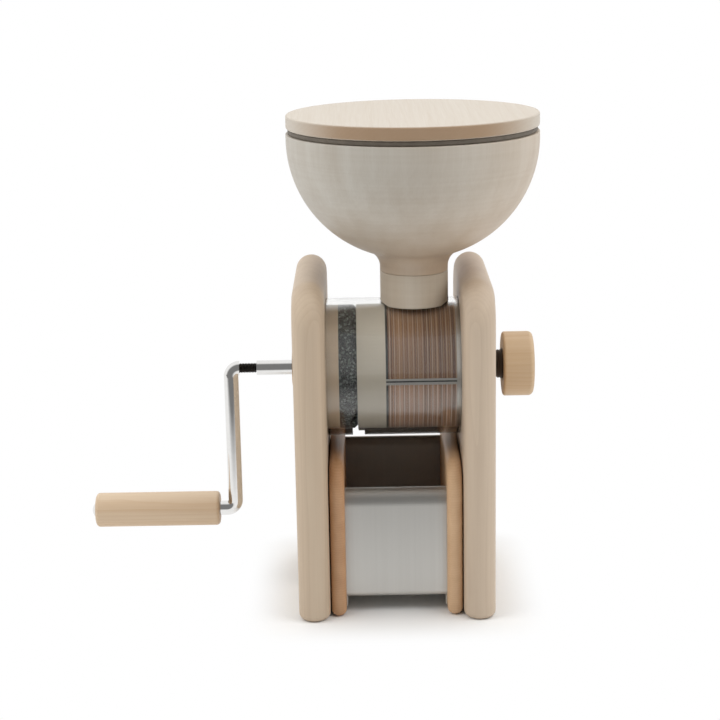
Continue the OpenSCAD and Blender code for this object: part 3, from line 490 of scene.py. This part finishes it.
def veneers(name, dark, light, line_tint, line_strength):
    """Veneers on edge, each its own brown between dark and light, with a pale line at every fourth."""
    material, tree, shader = finish_of(name)
    place = add(tree, "ShaderNodeTexCoord").outputs["Object"]
    part = add(tree, "ShaderNodeSeparateXYZ", {0: place})
    drift = add(tree, "ShaderNodeTexNoise", {
        "Vector": place, "Scale": 1 / (wander_patch_mm * MM), "Detail": 2.0,
    })
    wander = add(tree, "ShaderNodeMath", {0: drift.outputs[0], 1: wander_mm * MM, 2: part.outputs["X"]},
                 operation="MULTIPLY_ADD")
    count = add(tree, "ShaderNodeMath", {0: wander.outputs[0], 1: 1 / (veneer_mm * MM)}, operation="MULTIPLY")
    sheet = add(tree, "ShaderNodeMath", {0: count.outputs[0]}, operation="FLOOR")
    own = add(tree, "ShaderNodeTexWhiteNoise", {"W": sheet.outputs[0]}, noise_dimensions="1D")

    # Each line fades with the distance from the nearest border between two groups of veneers
    groups = add(tree, "ShaderNodeMath", {0: wander.outputs[0], 1: 1 / (group_mm * MM)}, operation="MULTIPLY")
    group = add(tree, "ShaderNodeMath", {0: groups.outputs[0]}, operation="FLOOR")
    bright = add(tree, "ShaderNodeTexWhiteNoise", {"W": group.outputs[0]}, noise_dimensions="1D")
    within = add(tree, "ShaderNodeMath", {0: groups.outputs[0], 1: 0.5}, operation="PINGPONG")
    edge = add(tree, "ShaderNodeMapRange", {
        "Value": within.outputs[0], "From Min": 0.0, "From Max": line_share, "To Min": 1.0, "To Max": 0.0,
    })
    level = add(tree, "ShaderNodeMapRange", {
        "Value": bright.outputs["Value"], "From Min": 0.0, "From Max": 1.0,
        "To Min": line_strength[0], "To Max": line_strength[1],
    })
    line = add(tree, "ShaderNodeMath", {0: edge.outputs[0], 1: level.outputs[0]}, operation="MULTIPLY")
    brown = add(tree, "ShaderNodeMix", {
        MIX_SHARE: own.outputs["Value"], MIX_COLOUR: linear(dark), MIX_TINT: linear(light),
    }, data_type="RGBA")
    veneer = add(tree, "ShaderNodeMix", {
        MIX_SHARE: line.outputs[0], MIX_COLOUR: brown.outputs[MIXED], MIX_TINT: linear(line_tint),
    }, data_type="RGBA")
    tree.links.new(veneer.outputs[MIXED], shader.inputs["Base Color"])
    shader.inputs["Roughness"].default_value = 0.5
    ridge = add(tree, "ShaderNodeBump", {
        "Height": own.outputs["Value"], "Strength": 0.2, "Distance": 0.05 * MM,
    })
    tree.links.new(ridge.outputs[0], shader.inputs["Normal"])
    return material


upper_veneers = veneers("resin_bonded_veneers_upper", "#6A462D", "#A0754F", "#E6CCAF", (0.35, 0.9))
dress(upper_veneers, "feed_housing_upper")
# The lower half is painted paler, as painted light from the table below
lower_veneers_painted_light = veneers("resin_bonded_veneers_lower_painted_light", "#8A644A", "#C89C7E", "#FBEFE2", (0.6, 1.0))
dress(lower_veneers_painted_light, "feed_housing_lower")


# Seal and gasket
# Rubber sheet, cut flat, closes the joints of the housing. It is drawn near black, painted shade for the
# shadowed gaps in the joints, and is dull, with a faint grey bloom.
def mottled(name, dark, light, patch_mm, roughness, detail=3.0, metallic=0.0):
    """A plain stuff whose colour wanders in patches between two like tones."""
    material, tree, shader = finish_of(name)
    place = add(tree, "ShaderNodeTexCoord").outputs["Object"]
    patch = add(tree, "ShaderNodeTexNoise", {
        "Vector": place, "Scale": 1 / (patch_mm * MM), "Detail": detail,
    })
    tone = add(tree, "ShaderNodeMix", {
        MIX_SHARE: patch.outputs[0], MIX_COLOUR: linear(dark), MIX_TINT: linear(light),
    }, data_type="RGBA")
    tree.links.new(tone.outputs[MIXED], shader.inputs["Base Color"])
    shader.inputs["Metallic"].default_value = metallic
    shader.inputs["Roughness"].default_value = roughness
    return material


# The near-black colour is painted shade for the shadowed joint gaps
dress(mottled("rubber_sheet_painted_shade", "#12110F", "#24211D", 1.2, 0.7), "housing_seal", "joint_gasket")

# Joint strips and end ring
# Satin aluminium strips edge the housing's joint, and a turned ring spaces it from the board. Their
# fine brush lines spread the light.
aluminium = metal("satin_aluminium", "#C6C4BF", 0.38, streak_mm=0.4, along="X")
dress(aluminium, "upper_joint_strips", "lower_joint_strips", "housing_end_ring")

# Shaft, bushes, feed screw and crank
# A ground steel shaft runs in turned bronze bushes and carries a cast feed screw. The crank is bent from
# one polished steel rod, which mirrors the tent.
polished_steel = metal("polished_steel", "#EDECEA", 0.07)
dress(polished_steel, "main_shaft", "thrust_ball", "crank_rod", "grip_cap", "adjusting_spindle")
bronze = metal("turned_bronze", "#C69A5E", 0.3, streak_mm=0.3, along="X")
dress(bronze, "crank_side_bush", "housing_bush")
dress(metal("cast_steel", "#A9A8A3", 0.45), "feed_auger")

# Threaded stud
# A blackened steel stud, threaded over its whole length, joins the crank rod to the shaft. Its oxide is
# almost black and only half bright.
weld_gap = 0.001 * MM


def keep_piece(name, bm, material, node, body, sharp=35):
    """Turns a finished mesh into a piece that stands for a CAD node, and that moves with a body where one
    is given."""
    mesh = bpy.data.meshes.new(name)
    bmesh.ops.remove_doubles(bm, verts=bm.verts, dist=weld_gap)
    bmesh.ops.recalc_face_normals(bm, faces=bm.faces)
    bm.to_mesh(mesh)
    bm.free()
    mesh.shade_smooth()
    mesh.set_sharp_from_angle(angle=math.radians(sharp))
    mesh.materials.append(material)
    piece = bpy.data.objects.new(name, mesh)
    scene.collection.objects.link(piece)
    if body:
        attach(piece, body)
    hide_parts(node)
    return piece


def skin(bm, rings):
    """Joins each ring of points to the next one."""
    for near_ring, far_ring in zip(rings, rings[1:]):
        for k in range(len(near_ring)):
            n = (k + 1) % len(near_ring)
            bm.faces.new((near_ring[k], near_ring[n], far_ring[n], far_ring[k]))


thread_pitch = 1.25 * MM
thread_depth = 0.6 * MM
rings_per_pitch = 10
stud_sides = 48
stud_low, stud_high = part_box("crank_stud")
stud_l = stud_high.x - stud_low.x
stud_r = (stud_high.y - stud_low.y) / 2
stud_axis = (stud_low + stud_high) / 2
ring_count = round(stud_l / thread_pitch * rings_per_pitch)
bm = bmesh.new()
rings = []
for i in range(ring_count + 1):
    x = stud_low.x + stud_l * i / ring_count
    ring = []
    for k in range(stud_sides):
        angle = 2 * math.pi * k / stud_sides
        phase = 2 * math.pi * i / rings_per_pitch - angle
        r = stud_r - thread_depth * (0.5 + 0.5 * math.cos(phase))
        ring.append(bm.verts.new((x, stud_axis.y + r * math.cos(angle), stud_axis.z + r * math.sin(angle))))
    rings.append(ring)
skin(bm, rings)
bm.faces.new(rings[0])
bm.faces.new(rings[-1])
black_steel = mottled("blackened_steel", "#161514", "#3A3835", 3, 0.42, detail=4.0, metallic=0.7)
keep_piece("threaded_stud", bm, black_steel, "crank_stud", "crank", sharp=60)

# Gap spring
# A spring wound from round steel wire sits in the crank side board's pocket and presses the running stone
# towards the fixed one. It is built at rest and does not move with the shaft.
wire_r = 1.0 * MM
wire_sides = 14
coil_turns = 3.5
steps_per_turn = 36
spring_low, spring_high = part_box("gap_spring")
spring_axis = (spring_low + spring_high) / 2
coil_r = (spring_high.z - spring_low.z) / 2 - wire_r
coil_rise = spring_high.x - spring_low.x - 2 * wire_r
first_x = spring_low.x + wire_r
step_count = round(coil_turns * steps_per_turn)
bm = bmesh.new()
rings = []
for i in range(step_count + 1):
    angle = 2 * math.pi * i / steps_per_turn
    out = Vector((0, math.cos(angle), math.sin(angle)))
    on_axis = Vector((first_x + coil_rise * i / step_count, spring_axis.y, spring_axis.z))
    ring = []
    for k in range(wire_sides):
        around = 2 * math.pi * k / wire_sides
        edge = out * math.cos(around) + Vector((1, 0, 0)) * math.sin(around)
        ring.append(bm.verts.new(on_axis + out * coil_r + edge * wire_r))
    rings.append(ring)
skin(bm, rings)
bm.faces.new(rings[0])
bm.faces.new(rings[-1])
spring = keep_piece("wound_spring", bm, plain_steel, "gap_spring", None)
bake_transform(spring)


# Adjuster nut
# Turned from dark resin, with rounded ribs for the fingers between the board and the knob, and a plain
# sleeve in the board. The resin is dark brown with a low gloss.
def bend(centre, r, start, stop, steps):
    """Outline points along an arc, in degrees."""
    angles = [math.radians(start + (stop - start) * i / steps) for i in range(steps + 1)]
    return [(centre[0] + r * math.cos(angle), centre[1] + r * math.sin(angle)) for angle in angles]


def turned(outline, middle, along="Z", sides=180):
    """A lathe-turned mesh from a closed outline of (radius, place along the axis) in millimetres."""
    bm = bmesh.new()
    rings = []
    for r, place in outline:
        ring = []
        for k in range(sides):
            angle = 2 * math.pi * k / sides
            u = r * MM * math.cos(angle)
            v = r * MM * math.sin(angle)
            if along == "X":
                spot = (place * MM, middle.y + u, middle.z + v)
            else:
                spot = (middle.x + u, middle.y + v, place * MM)
            ring.append(bm.verts.new(spot))
        rings.append(ring)
    skin(bm, rings + rings[:1])
    return bm


rib_count = 4
rib_depth = 0.7
steps_per_rib = 8
nut_sides = 96
nut_bore_r = 8.05
nut_sleeve_r = 12
nut_base_r = 10
nut_low, nut_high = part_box("adjuster_nut")
nut_axis = (nut_low + nut_high) / 2
nut_start = nut_low.x / MM
nut_end = nut_high.x / MM
nut_head_r = (nut_high.z - nut_low.z) / 2 / MM
board_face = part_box("knob_side_board")[1].x / MM
outline = [(nut_bore_r, nut_start), (nut_sleeve_r, nut_start), (nut_sleeve_r, board_face)]
for i in range(rib_count * steps_per_rib + 1):
    share = i / (rib_count * steps_per_rib)
    waist = rib_depth * (0.5 + 0.5 * math.cos(2 * math.pi * rib_count * share))
    rib_r = nut_base_r + (nut_head_r - nut_base_r) * share - waist
    outline.append((rib_r, board_face + (nut_end - board_face) * share))
outline.append((nut_bore_r, nut_end))
dark_resin = mottled("dark_turned_resin", "#2C2017", "#47372A", 4, 0.4)
keep_piece("ribbed_adjuster_nut", turned(outline, nut_axis, "X", nut_sides), dark_resin, "adjuster_nut",
           "frame")

# Knob and grip
# Turned from beech with the grain along the crank's axis, and oiled, which turns them a little yellower
# than the boards.
knob_wood = beech("oiled_beech_knob", "X", "#DCC3A2", "#C8A67F", (60, 120), figure=0.6, end=0.15)
dress(knob_wood, "adjusting_knob")
grip_wood = beech("oiled_beech_grip", "X", "#E0CBB0", "#CDAE8C", (50, -30), figure=0.6, end=0.15)
dress(grip_wood, "crank_grip")

# Hopper
# A deep bowl and its collar, each turned from one upright block of pale beech. The bowl's heart is warmer,
# and its paler tone towards the neck is painted light that stands in for light thrown up from the table.
# Their edges are eased, and a fine line shows where they meet.
bowl_wood = beech("oiled_beech_bowl", "Z", "#C7C3BA", "#AFA597", (115, 10), figure=0.6, end=0.2, ring_mm=3,
                  tool_mm=2.6, heart_mm=115, ring_share=0.05)
rim_band_h = 4.6
bowl_arc_r = 95
bowl_wall = 10
neck_r = 27.1
neck_fillet_r = 14
plug_r = 19.1
throat_r = 14
funnel_angle = 30
ease_r = 0.8
ease_steps = 6
bowl_steps = 60
fillet_steps = 20
inside_steps = 40
bowl_low, bowl_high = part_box("hopper_bowl")
hopper_axis = (bowl_low + bowl_high) / 2
bowl_r = (bowl_high.x - bowl_low.x) / 2 / MM
mouth_r = bowl_r - bowl_wall
inner_r = bowl_arc_r - bowl_wall
rim_z = bowl_high.z / MM
plug_end_z = bowl_low.z / MM
joint_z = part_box("hopper_collar")[1].z / MM
centre = (bowl_r - bowl_arc_r, rim_z - rim_band_h)
fillet_r = neck_r + neck_fillet_r
blend_angle = math.degrees(math.acos((fillet_r - centre[0]) / (bowl_arc_r + neck_fillet_r)))
blend_z = centre[1] - (bowl_arc_r + neck_fillet_r) * math.sin(math.radians(blend_angle))
funnel_stop = 90 - funnel_angle
funnel_top = bend(centre, inner_r, -funnel_stop, -funnel_stop, 1)[0]
funnel_bottom_z = funnel_top[1] - (funnel_top[0] - throat_r) * math.tan(math.radians(funnel_angle))
outline = bend((mouth_r + ease_r, rim_z - ease_r), ease_r, 180, 90, ease_steps)
outline += bend((bowl_r - ease_r, rim_z - ease_r), ease_r, 90, 0, ease_steps)
outline += bend(centre, bowl_arc_r, 0, -blend_angle, bowl_steps)
outline += bend((fillet_r, blend_z), neck_fillet_r, 180 - blend_angle, 180, fillet_steps)
outline += bend((neck_r - ease_r, joint_z + ease_r), ease_r, 0, -90, ease_steps)
outline += [(plug_r, joint_z), (plug_r, plug_end_z), (throat_r, plug_end_z), (throat_r, funnel_bottom_z)]
outline += bend(centre, inner_r, -funnel_stop, 0, inside_steps)
keep_piece("turned_bowl", turned(outline, hopper_axis), bowl_wood, "hopper_bowl", "hopper")

collar_wood = beech("oiled_beech_collar", "Z", "#D8CEBE", "#C4B5A1", (40, 300), end=0.25, tool_mm=2.2,
                    ring_share=0.1)
seat_z = 239.1
spigot_r = 16.5
collar_sides = 120
plug_clearance = 0.05
plug_floor_gap = 1
spigot_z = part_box("hopper_collar")[0].z / MM
bore_r = plug_r + plug_clearance
bore_z = plug_end_z - plug_floor_gap
outline = [(throat_r, spigot_z), (spigot_r, spigot_z), (spigot_r, seat_z)]
outline += bend((neck_r - ease_r, seat_z + ease_r), ease_r, -90, 0, ease_steps)
outline += bend((neck_r - ease_r, joint_z - ease_r), ease_r, 0, 90, ease_steps)
outline += [(bore_r, joint_z), (bore_r, bore_z), (throat_r, bore_z)]
keep_piece("turned_collar", turned(outline, hopper_axis, "Z", collar_sides), collar_wood, "hopper_collar",
           "frame")

# Lid
# A flat beech disc, darker and warmer round its cut edge, with a plug below it and a dull grey silicone
# seal stretched round the plug.
lid_wood = beech("oiled_beech_lid", "Y", "#CDC5B9", "#BFB2A1", (120, 260), figure=0.4, end=0.75,
                 end_tint="#9C7750", end_spread=(0.05, 0.8))
dress(lid_wood, "lid_disc", "lid_plug")
seal_bore_r = 88.6
seal_edge_r = 1.2
seal_edge_steps = 8
seal_low, seal_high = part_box("lid_seal")
seal_r = (seal_high.x - seal_low.x) / 2 / MM
seal_foot_z = seal_low.z / MM
seal_top_z = seal_high.z / MM
edge_middle_r = seal_r - seal_edge_r
outline = [(seal_bore_r, seal_foot_z)]
outline += bend((edge_middle_r, seal_foot_z + seal_edge_r), seal_edge_r, -90, 0, seal_edge_steps)
outline += bend((edge_middle_r, seal_top_z - seal_edge_r), seal_edge_r, 0, 90, seal_edge_steps)
outline += [(seal_bore_r, seal_top_z)]
grey_silicone = mottled("grey_silicone", "#5C544A", "#776E62", 5, 0.6)
keep_piece("silicone_seal", turned(outline, hopper_axis), grey_silicone, "lid_seal", "lid")

# Flour bin
# A tub bent from one satin stainless sheet with wide rolled rims, held between two sides of warmer beech
# by screws through flanges under its floor. The two sides are lit and shaded copies of one wood: the left
# one darker, painted shade, and the right one paler, painted light. The satin blurs what the sheet mirrors,
# and the sides' grain runs from front to back.
left_wood_painted_shade = beech("warm_beech_left_painted_shade", "Y", "#D2A57D", "#B68860", (-900, 20), figure=0.7, end=0.2, ring_mm=1.9)
dress(left_wood_painted_shade, "bin_left_side")
# The right side is the same wood drawn paler, as painted light
right_wood_painted_light = beech("warm_beech_right_painted_light", "Y", "#E4C098", "#CFA780", (-900, 120), figure=0.7, end=0.15,
                   ring_mm=1.9)
dress(right_wood_painted_light, "bin_right_side")
stainless = metal("satin_stainless_sheet", "#CFCDC8", 0.48, streak_mm=2.5, along="Z", uneven=0.07)
dress(stainless, "bin_tub")
dress(plain_steel, "bin_screws")
